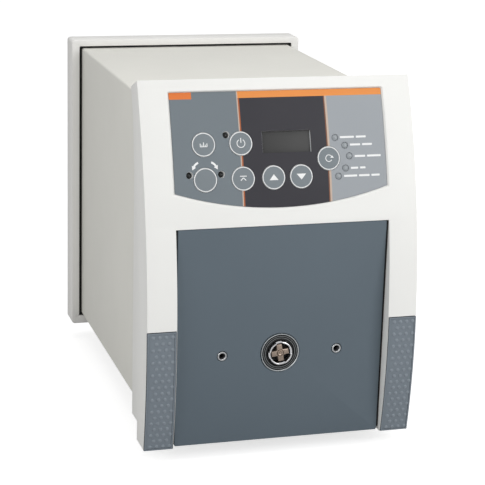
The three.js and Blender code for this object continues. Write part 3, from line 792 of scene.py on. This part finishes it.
def curved_arrow(side):
    """A short bent arrow for the turning direction; side is -1 for left."""
    angles = [math.radians(BEND_START + BEND_STEP * i) for i in range(BEND_STEPS + 1)]
    middle = math.radians(BEND_START + 28)
    points = [(side * BEND_R * (math.sin(a) - math.sin(middle)), BEND_R * (math.cos(a) - math.cos(middle)))
              for a in angles]
    shaft = []
    for sign in (1, -1):
        row = [(u + sign * side * SHAFT_HALF * math.sin(a), v + sign * SHAFT_HALF * math.cos(a))
               for a, (u, v) in zip(angles, points)]
        shaft += row if sign > 0 else row[::-1]
    u, v = points[-1]
    a = angles[-1]
    along = (side * math.cos(a), -math.sin(a))
    across = (side * math.sin(a), math.cos(a))
    head = [(u - HEAD_OVERLAP * along[0] + half * across[0], v - HEAD_OVERLAP * along[1] + half * across[1])
            for half in (HEAD_HALF, -HEAD_HALF)]
    return shaft, head + [(u + HEAD_LENGTH * along[0], v + HEAD_LENGTH * along[1])]


ARROWS_AT = ((-1, -52.3), (1, -40.5))
ARROWS_S = 110.1
LEGENDS = {                     # plain strokes where a legend stands beside a lamp: x, s, lengths
    "lamp_speed": (36.9, 123.5, (8.8, 6.2)), "lamp_tube": (42.9, 118.9, (6.4, 6.2)),
    "lamp_flow": (45.4, 112.0, (6.6, 8.6)), "lamp_volume": (42.6, 105.1, (4.6, 3.4)),
    "lamp_pause": (38.1, 100.5, (8.2, 6.6, 5.2)),
}
STROKE_HALF, STROKE_GAP = 0.6, 1.2


def make_panel_marks():
    marks = []
    for side, x in ARROWS_AT:
        marks += [printed("arrow", outline, x, ARROWS_S) for outline in curved_arrow(side)]
    for x, s, strokes in LEGENDS.values():
        for length in strokes:
            marks.append(printed("stroke", rounded(0, length, -STROKE_HALF, STROKE_HALF, 0.25, 2), x, s))
            x += length + STROKE_GAP
    marks = dress(gather("panel_marks", marks), print_white)
    settle(marks, "unit", "panel_print")


REVEAL_WALL, REVEAL_DRAFT = 0.35, 1.0986


def make_window():
    """The display's glass and the pale reveal round it, whose side walls widen to the front."""
    glass = block("display_glass", (-GLASS_W + 0.4, 1.9, -GLASS_H + 0.1), (GLASS_W - 0.4, 2.6, GLASS_H - 0.1))
    soften(glass, 0.12, 2)
    reveal = block("display_reveal", (-GLASS_W + 0.05, SHEET_FACE + 0.1, -GLASS_H + 0.05),
                   (GLASS_W - 0.05, 2.6, GLASS_H - 0.05))
    opening = GLASS_W - REVEAL_WALL
    well = block("well", (-opening, -3, -GLASS_H - 1), (opening, 1.8, GLASS_H + 1))
    pick_up(well)
    for vertex in well.data.vertices:
        vertex.select = vertex.co.y < 0
    bpy.ops.object.mode_set(mode="EDIT")
    bpy.ops.mesh.select_mode(type="FACE")
    bpy.ops.transform.resize(value=(REVEAL_DRAFT, 1, 1), center_override=(0, 0, 0))
    bpy.ops.object.mode_set(mode="OBJECT")
    cut_away(reveal, well, block("through", (-opening, -3, -GLASS_H - 1), (opening, 8, GLASS_H + 1)))
    dress(smooth(glass), smoked)
    window = gather("display_glass", [glass, dress(reveal, tube_pale)])
    settle(on_curve(window, *GLASS_AT), "unit", "smoked_window", "display_window")


# ---------------- plate and drive coupling
BOSS = [(0, -117), (17, -117), (17, -106.5), (16.5, -106), (0, -106)]
SEAL_BED = [(0, -125), (12.35, -125), (12.35, -120.45), (12.1, -120.2), (12.1, -117.2), (11.1, -117.2),
            (11.1, -114.8), (12.3, -114.8), (12.3, -100), (0, -100)]
INSERT_BED = [(0, -125), (3.5, -125), (3.5, -120.5), (3.2, -120.2), (3.2, -110), (0, -110)]
BUSH = [(2.05, -120.6), (2.65, -120.6), (2.85, -120.4), (2.9, -120.2), (2.9, -113), (1.8, -113),
        (1.8, -120.3)]
TRIM = [(11.1, -120.8), (11.3, -121.0), (11.65, -121.0), (11.8, -120.8), (11.8, -117.6), (11.1, -117.6)]
CROWN = [(6.45, -122.6), (6.95, -122.6), (7.15, -122.45), (7.45, -120.8), (7.5, -120.3), (7.5, -115),
         (6.2, -115), (6.2, -122.2), (6.3, -122.5)]
GROOVE = [(1.75, -122), (2.15, -122), (2.15, -120.9), (1.95, -120.7), (1.75, -120.9)]
HEART = [(0, -121.75), (0.5, -121.7), (0.7, -121.35), (1.3, -121.6), (1.6, -121.4), (1.65, -120.5),
         (0, -120.5)]
PLATE_THICK, PLATE_SHY, PLATE_DROP = 5, 1.0, 0.7       # against the frame's own plate
THREADS, THREAD_PITCH = 7, 0.7
RIB_CRESTS, CREST_FACE, RIB_FLOOR = (10.2, 9.1), -120.7, -120.0
SLOT_HALF, ARM_HALF, ARM_REACH = 1.9, 1.75, 5.4


def make_plate():
    low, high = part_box("front_plate")
    half, foot_z, top_z, face_y = high.x / MM - PLATE_SHY, low.z / MM - PLATE_DROP, high.z / MM, low.y / MM
    plate = drawn("pump_head_plate", rounded(-half, half, foot_z, top_z, 1.0, 4), "Y",
                  face_y, face_y + PLATE_THICK)
    soften(plate, 0.5, 3)
    fuse(plate, moved(spun("boss", BOSS, 64), z=SHAFT_Z),
         block("plate_foot", (-64, -116.5, 10), (64, -104.3, 12.5)))
    tools = [moved(spun("seal_bed", SEAL_BED, 96), z=SHAFT_Z)]
    for side in (-1, 1):
        tools.append(moved(spun("insert_bed", INSERT_BED, 48), x=side * INSERT_X, z=SHAFT_Z))
    cut_away(plate, *tools)
    dress(plate, plate_paint)
    # painted shadow: near-black strips in the gaps beside the plate's side edges, where deep shade falls
    gap_shadow_strips = [block("gap_shadow_strips", (x, face_y + 0.6, foot_z + 2), (x + 1.2, face_y + 4.5, top_z - 0.3))
              for x in (-half - 1.05, half - 0.15)]
    for strip in gap_shadow_strips:
        dress(strip, gasket_black_and_gap_shade)
    plate = gather("pump_head_plate", [plate] + gap_shadow_strips)
    settle(smooth(plate), "unit", "plate_slate", "front_plate")


def make_inserts():
    """Threaded bushes: a bright rim round a threaded bore whose steel is painted dark as painted shade."""
    for side, node, steel in ((-1, "left_insert", insert_left_steel),
                              (1, "right_insert", insert_right_steel)):
        bush = spun("bush", BUSH, 48, closed=True)
        threads = []
        for i in range(THREADS):
            y = -119.9 + THREAD_PITCH * i
            threads.append(spun("thread", [(1.82, y), (1.5, y + 0.3), (1.82, y + 0.6)], 36, closed=True))
        bore = dress(gather("bore", threads + [peg("bottom", 1.85, -115.4, -113, 36)]), bore_shade)
        piece = gather(node + "_bush", [dress(bush, steel), bore])
        moved(smooth(piece), x=side * INSERT_X, z=SHAFT_Z)
        settle(piece, "unit", "plain_steel", node)


def make_seal():
    """The bright trim ring, and the rubber seal with its two ribs, whose crests are painted pale as painted
    highlight.
    """
    trim = moved(spun("seal_trim", TRIM, 96, closed=True), z=SHAFT_Z)
    dress(smooth(trim, 40), bright_ring)
    settle(trim, "unit", "cast_alloy", "seal_ring")
    ribs = [(10.8, -117.0), (10.8, -120.5)]
    for crest in RIB_CRESTS:
        ribs += [(crest + 0.4, RIB_FLOOR), (crest + 0.2, CREST_FACE), (crest - 0.16, CREST_FACE),
                 (crest - 0.36, RIB_FLOOR)]
    ribs += [(8.15, -120.6), (7.9, -120.4), (7.9, -117.0)]
    lip = moved(spun("shaft_seal_lip", ribs, 96, closed=True), z=SHAFT_Z)
    dress(smooth(lip, 40), seal_rubber, seal_crest_highlight)
    # painted highlight: the rib crests' faces are painted pale where light catches them
    for face in lip.data.polygons:
        if face.center.y < (CREST_FACE + 0.02) * MM:
            face.material_index = 1
    settle(lip, "unit", "black_rubber", "shaft_seal")


def make_coupling():
    """A slotted crown with a narrow bright edge, and the four-armed driver inside it."""
    sleeve = spun("coupling_crown", CROWN, 96, closed=True)
    cut_away(sleeve, *[moved(block("slot", (-12, -130, -SLOT_HALF), (12, -121.2, SLOT_HALF)), turn_y=turn)
                       for turn in (0.0, math.pi / 2)])
    moved(sleeve, turn_y=-SHAFT_TURN)
    moved(sleeve, z=SHAFT_Z)
    dress(smooth(sleeve, 40), chrome_ring)
    settle(sleeve, "drive_shaft", "bright_chrome", "coupling_sleeve")

    arms = block("arm", (-ARM_REACH, -121.3, -ARM_HALF), (ARM_REACH, -116, ARM_HALF))
    fuse(arms, block("arm", (-ARM_HALF, -121.3, -ARM_REACH), (ARM_HALF, -116, ARM_REACH)))
    soften(arms, 0.6, 4)
    cut_away(arms, spun("groove", GROOVE, 40, closed=True))
    heart = spun("heart", HEART, 40)
    # painted shade: the cup's floor round the driver is painted near-black where shade falls between its arms
    floor = peg("cup_floor", 5.9, -117.9, -115.1, 64)
    cross = gather("coupling_driver", [dress(arms, bronze), dress(heart, bronze), dress(floor, cup_floor_shade)])
    moved(cross, turn_y=-SHAFT_TURN)
    moved(cross, z=SHAFT_Z)
    smooth(cross, 40)
    settle(cross, "drive_shaft", "bronze_cross", "coupling_cross")


# ---------------- casing and rear frame
FRAME_PROUD, FRAME_DROP = 0.85, 0.6                    # against the frame's own rear frame


def make_casing():
    casing = drawn("casing_tube", rounded(-BODY_HALF, BODY_HALF, BODY_LOW, BODY_HIGH, 1.3, 6), "Y",
                   BODY_FRONT, BODY_REAR)
    cut_away(casing, drawn("casing_hollow", rounded(-72.6, 72.6, 21.1, 208.8, 1.0, 4), "Y",
                           BODY_FRONT - 5, BODY_REAR + 5))
    soften(casing, 0.4, 2, 60)
    dress(smooth(casing), casing_coat)
    settle(casing, "unit", "casing_grey", "main_casing")


def make_rear_frame():
    """The frame with its front pocket and rear mouth, and the black band between it and the casing."""
    low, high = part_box("rear_frame")
    half = high.x / MM + FRAME_PROUD
    shell = drawn("rear_frame_shell", rounded(-half, half, low.z / MM - FRAME_DROP, high.z / MM, 2.2, 8), "Y",
                  low.y / MM, high.y / MM)
    soften(shell, 0.45, 2)
    pocket = drawn("pocket", rounded(-76.6, 76.6, 17.6, 212.3, 0.8, 4), "Y", 100, 113)
    mouth = drawn("rear_mouth", rounded(-70.5, 70.5, 23.5, 206, 3.0, 8), "Y", 112.5, 140)
    cut_away(shell, pocket, mouth)
    soften(shell, 0.3, 2, 50)
    cut_away(shell, drawn("chamber", rounded(-77.3, 77.3, 17.2, 213.2, 1.5, 6), "Y", 112.1, 119.3))
    # painted shade: the hood's white, painted slightly darker
    dress(smooth(shell), frame_white_shaded)
    settle(shell, "unit", "hood_white", "rear_frame")
    gasket = drawn("gasket_band", rounded(-77.0, 77.0, 17.9, 212.9, 1.5, 6), "Y", 112.2, 116.2)
    cut_away(gasket, drawn("gasket_hole", rounded(-74.9, 74.9, 18.8, 211.1, 1.4, 6), "Y", 100, 130))
    dress(smooth(gasket), gasket_black_and_gap_shade)
    settle(gasket, "unit", "black_rubber", "rear_gasket")


# ---------------- rear panel
PANEL_OUT, FLANGE = 119.0, 119.3                       # the panel's outer face, and where flanges start
DEEP, OUTSIDE = 110, 125                               # tools through the panel reach between these
INLET, SWITCH, FUSE = (-34, 60), (2, 60), (28, 60)
PORTS = {"analog_port": (-28, 96, 26.5, 19.3, 13), "serial_port": (36, 96, 15.4, 8.2, 5)}
REAR_SCREWS = ((-65, 30), (65, 30), (-65, 199.5), (65, 199.5))
SCREW_PROFILE = [(0, 104), (1.55, 104), (1.55, 119.3), (2.7, 119.3), (3.0, 119.5), (2.95, 120.1),
                 (2.5, 120.8), (1.6, 121.25), (0, 121.4)]
POST_R, POST_LENGTH, POST_INSET = 2.4, 5.2, 3
CONTACT_R, CONTACT_PITCH, CONTACT_ROW = 0.55, 2.76, 1.42
BLADES = ((-7, -1.5), (0, 2.5), (7, -1.5))
ROCKER_SIDE = [(-4, -7), (3.2, -8.7), (4.2, 0), (3.2, 8.7), (-4, 7)]
ROCKER_FACE_LEAN, ROCKER_REST = math.radians(6.56), math.radians(-8)
COLLAR = [(5.3, 98), (6.6, 98), (6.6, FLANGE), (8.2, FLANGE), (8.5, FLANGE + 0.3), (8.4, FLANGE + 1.7),
          (7.9, FLANGE + 2.2), (5.6, FLANGE + 2.2), (5.3, FLANGE + 1.9)]
KNOB = [(0, 100), (2.9, 100), (2.9, 118), (4.95, 118), (4.95, 123.0), (4.7, 123.5), (4.2, 123.8), (0, 123.8)]
FLUTES, FLUTE_R, FLUTE_RING = 18, 0.45, 5.15
FOOT = [(0, 2.5), (2.6, 2.5), (2.9, 0.3), (3.3, 0.0), (9.4, 0.0), (10.3, 0.15), (10.9, 0.7), (11, 1.4),
        (10.75, 4.4), (10.35, 4.7), (10.35, 5.3), (10.7, 5.6), (9.6, 18.8), (0, 18.8)]


def port_outline(x, z, shell, grow=0.0):
    low, high, rise = shell - 1.2 + grow, shell + grow, 4.1 + grow
    return [(x - low, z - rise), (x + low, z - rise), (x + high, z + rise), (x - high, z + rise)]


def upright(name, x, z, half_w, half_h, start, end):
    """A block about a place on the rear panel."""
    return block(name, (x - half_w, start, z - half_h), (x + half_w, end, z + half_h))


def make_rear_panel():
    """The alloy panel with its cut-outs, a blank rating plate and its four screws."""
    panel = drawn("rear_plate", rounded(-77, 77, 17.9, 212.9, 1.5, 6), "Y", 116.5, PANEL_OUT)
    tools = [upright("hole", *INLET, 14.6, 10.9, DEEP, OUTSIDE),
             upright("hole", *SWITCH, 7.4, 11.4, DEEP, OUTSIDE),
             moved(peg("hole", 6.9, DEEP, OUTSIDE, 32), x=FUSE[0], z=FUSE[1])]
    for x, z, _, shell, _ in PORTS.values():
        tools.append(drawn("hole", port_outline(x, z, shell, 0.3), "Y", DEEP, OUTSIDE))
    for x, z in REAR_SCREWS:
        tools.append(moved(peg("hole", 1.9, DEEP, OUTSIDE, 20), x=x, z=z))
    cut_away(panel, *tools)
    label = drawn("rating_plate", rounded(-27, 27, 132, 162, 2, 4), "Y", PANEL_OUT - 0.1, PANEL_OUT + 0.4)
    soften(label, 0.15, 2)
    panel = gather("rear_plate", [dress(panel, brushed_alloy), dress(label, label_silver)])
    settle(smooth(panel), "unit", "cast_alloy", "rear_panel")
    screw = spun("screw", SCREW_PROFILE, 32)
    cut_away(screw, block("slot", (-1.7, 120.2, -0.3), (1.7, 123, 0.3)),
             block("slot", (-0.3, 120.2, -1.7), (0.3, 123, 1.7)))
    dress(smooth(screw, 35), nickel)
    for number, (x, z) in enumerate(REAR_SCREWS, 1):
        twin = moved(copy_of(screw), x=x, z=z, turn_y=0.4 * number)
        twin.name = f"panel_screw_{number}"
        settle(twin, "unit", "plain_steel", f"rear_screw_{number}")
    bpy.data.objects.remove(screw)


def make_ports():
    """Two shielded sockets: flange, shell, black insert with its contact holes, and two jack posts."""
    for node, (x, z, half, shell, wide_row) in PORTS.items():
        flange = drawn("flange", rounded(x - half, x + half, z - 6.2, z + 6.2, 1.5, 6), "Y",
                       FLANGE, FLANGE + 1)
        soften(flange, 0.2, 2)
        skirt = drawn("skirt", port_outline(x, z, shell), "Y", 108, FLANGE + 6.1)
        soften(skirt, 0.7, 3)
        cut_away(skirt, drawn("cup", port_outline(x, z, shell, -0.5), "Y", FLANGE + 5.2, FLANGE + 8))
        insert = drawn("insert", port_outline(x, z, shell, -0.9), "Y", FLANGE + 4, FLANGE + 6)
        soften(insert, 0.25, 2)
        holes = []
        for row, count in ((CONTACT_ROW, wide_row), (-CONTACT_ROW, wide_row - 1)):
            for i in range(count):
                holes.append(moved(peg("contact", CONTACT_R, 123, 127, 12),
                                   x=x + (i - (count - 1) / 2) * CONTACT_PITCH, z=z + row))
        cut_away(insert, gather("contacts", holes))
        posts = []
        for side in (-1, 1):
            at = x + side * (half - POST_INSET)
            end = FLANGE + POST_LENGTH
            post = moved(spun("post", [(0, FLANGE), (POST_R, FLANGE), (POST_R, FLANGE + 4.8), (2.1, end),
                                       (0, end)], 6), x=at, z=z)
            cut_away(post, moved(peg("bore", 1.2, FLANGE + 1.5, 130, 20), x=at, z=z))
            posts.append(dress(soften(post, 0.12, 2), nickel))
        port = gather(node + "_socket", [dress(flange, nickel), dress(skirt, nickel),
                                         dress(insert, black_mould)] + posts)
        settle(smooth(port), "unit", "cast_alloy", node)


def make_inlet():
    """Recessed three-blade mains inlet with a softened flange."""
    x, z = INLET
    shell = drawn("inlet_shell", rounded(x - 25, x + 25, z - 12, z + 12, 4, 8), "Y", FLANGE, FLANGE + 2.4)
    soften(shell, 0.6, 3)
    fuse(shell, upright("inlet_body", x, z, 14.3, 10.6, 96, FLANGE + 1))
    half, low, shoulder, top = 12.2, z - 8.2, z + 5, z + 8.2
    mouth = drawn("inlet_mouth", [(x - half, low), (x + half, low), (x + half, shoulder), (x + 8.6, top),
                                  (x - 8.6, top), (x - half, shoulder)], "Y", 105, 130)
    soften(mouth, 0.6, 3)
    cut_away(shell, mouth)
    blades = []
    for u, v in BLADES:
        blade = upright("blade", x + u, z + v, 1, 2, 104, 116.5)
        blades.append(dress(soften(blade, 0.5, 3), nickel))
    inlet = gather("mains_inlet_socket", [dress(shell, black_mould)] + blades)
    settle(smooth(inlet), "unit", "black_plastic", "mains_inlet")


def make_switch():
    """The mains switch: its frame, and a two-faced rocker with a stroke and a ring."""
    x, z = SWITCH
    bezel = drawn("switch_bezel", rounded(x - 9.3, x + 9.3, z - 13.3, z + 13.3, 1.2, 5), "Y",
                  FLANGE, FLANGE + 2)
    soften(bezel, 0.45, 3)
    fuse(bezel, upright("switch_body", x, z, 7.1, 11.1, 100, FLANGE + 1))
    cut_away(bezel, upright("switch_well", x, z, 5.9, 9.9, 112, 130))
    settle(dress(smooth(bezel), black_mould), "unit", "black_plastic", "switch_frame")
    rocker = drawn("rocker", ROCKER_SIDE, "X", -5.5, 5.5)
    soften(rocker, 0.45, 3, 20)
    marks = []
    for outline, side in (([(-0.35, -1.6), (0.35, -1.6), (0.35, 1.6), (-0.35, 1.6)], 1),
                          (ring_mark(1.0, 1.6, 0, 359.9, 40), -1)):
        mark = drawn("sign", outline, "Y", -0.2, 0.05)
        mark.rotation_euler = (side * ROCKER_FACE_LEAN, 0, 0)
        mark.location = (0, 3.68 * MM, side * 4.6 * MM)
        marks.append(dress(apply_place(mark), print_white))
    rocker = gather("power_rocker_cap", [dress(rocker, black_mould)] + marks)
    rocker.rotation_euler = (ROCKER_REST, 0, 0)
    rocker.location = (x * MM, 119.4 * MM, z * MM)
    apply_place(rocker)
    settle(smooth(rocker), "power_rocker", "black_plastic", "power_rocker")


def make_fuse():
    """Round fuse carrier: a flanged holder and a slotted cap with a gripping edge."""
    x, z = FUSE
    holder = spun("fuse_collar", COLLAR, 64, closed=True)
    settle(moved(dress(smooth(holder, 40), black_mould), x=x, z=z), "unit", "black_plastic", "fuse_holder")
    cap = spun("fuse_knob", KNOB, 64)
    flutes = []
    for i in range(FLUTES):
        a = math.radians(360 // FLUTES * i + 10)
        flutes.append(moved(peg("flute", FLUTE_R, 121.9, 126, 10), x=FLUTE_RING * math.cos(a),
                            z=FLUTE_RING * math.sin(a)))
    cut_away(cap, gather("flutes", flutes), block("slot", (-4.1, 122.6, -0.6), (4.1, 126, 0.6)))
    settle(moved(dress(smooth(cap, 35), black_mould), x=x, z=z), "fuse_cap", "black_plastic", "fuse_cap")


def make_feet():
    """Four turned rubber feet with a ring groove and a screw recess underneath."""
    foot = spun("foot", FOOT, 56)
    foot.rotation_euler = (math.pi / 2, 0, 0)
    apply_place(foot)
    dress(smooth(foot, 40), foot_rubber)
    for number in range(1, 5):
        low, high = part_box(f"foot_{number}")
        twin = moved(copy_of(foot), x=(low.x + high.x) / 2 / MM, y=(low.y + high.y) / 2 / MM)
        twin.name = f"foot_{number}_turned"
        settle(twin, "unit", "black_rubber", f"foot_{number}")
    bpy.data.objects.remove(foot)


def dress_plain_nodes():
    """Frame nodes inside the casing keep their shape and take their own finish."""
    finishes = {
        sheet_alloy: ["gearbox_carrier", "power_supply"],
        black_mould: ["display_module", "encoder_disc", "encoder_sensor"],
        board_green: ["keypad_board", "main_board"],
        shaft_steel: ["front_bearing", "rear_bearing", "output_shaft", "output_gear", "motor_pinion",
                      "motor_body", "motor_shaft"],
    }
    for material, names in finishes.items():
        for name in names:
            dress(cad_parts[name], material)


# ---------------- studio
FLOOR_SHADE, FLOOR_GLOW, AIR_LIGHT = 0.6, 0.68, 0.5
WHITE = (1, 1, 1, 1)
LIGHTS = (                                             # name, place, aim, size, power
    ("top_light", (0.1, 0.1, 1.6), (0, 0, 0.1), 1.6, 7.5),
    ("left_light", (-1.3, -0.9, 1.0), (0, 0, 0.12), 1.2, 6.5),
    ("front_light", (0.8, -1.2, 0.7), (0, 0, 0.12), 1.0, 9.0),
)


def set_studio():
    """White paper that stays white to the camera, even air light and three soft lamps."""
    put_down()
    bpy.ops.mesh.primitive_plane_add(size=24, location=(0, 0.5, 0))
    floor = bpy.context.object
    floor.name = "studio_floor"
    paper = bpy.data.materials.new("white_paper")
    paper.use_nodes = True
    tree = paper.node_tree
    surface = tree.nodes["Principled BSDF"]
    surface.inputs["Base Color"].default_value = (FLOOR_SHADE, FLOOR_SHADE, FLOOR_SHADE, 1)
    surface.inputs["Roughness"].default_value = 0.9
    surface.inputs["Specular IOR Level"].default_value = 0.1
    surface.inputs["Emission Color"].default_value = WHITE
    seen = tree.nodes.new("ShaderNodeLightPath").outputs["Is Camera Ray"]
    tree.links.new(add_math(tree, "MULTIPLY", seen, FLOOR_GLOW), surface.inputs["Emission Strength"])
    dress(floor, paper)
    world = bpy.data.worlds.new("studio_air")
    bpy.context.scene.world = world
    world.use_nodes = True
    air = world.node_tree.nodes["Background"]
    air.inputs["Color"].default_value = WHITE
    air.inputs["Strength"].default_value = AIR_LIGHT
    for name, place, target, size, power in LIGHTS:
        bpy.ops.object.light_add(type="AREA", location=place)
        lamp = bpy.context.object
        lamp.name = name
        lamp.data.energy = power
        lamp.data.size = size
        aim = Vector(target) - Vector(place)
        lamp.rotation_euler = aim.to_track_quat("-Z", "Y").to_euler()
    put_down()
    bpy.context.scene.view_settings.view_transform = "Standard"


for make in (make_hood, make_grip_pads, make_sheet, make_keys, make_lamps, make_panel_marks, make_window,
             make_plate, make_inserts, make_seal, make_coupling, make_casing, make_rear_frame,
             make_rear_panel, make_ports, make_inlet, make_switch, make_fuse, make_feet,
             dress_plain_nodes, set_studio):
    make()
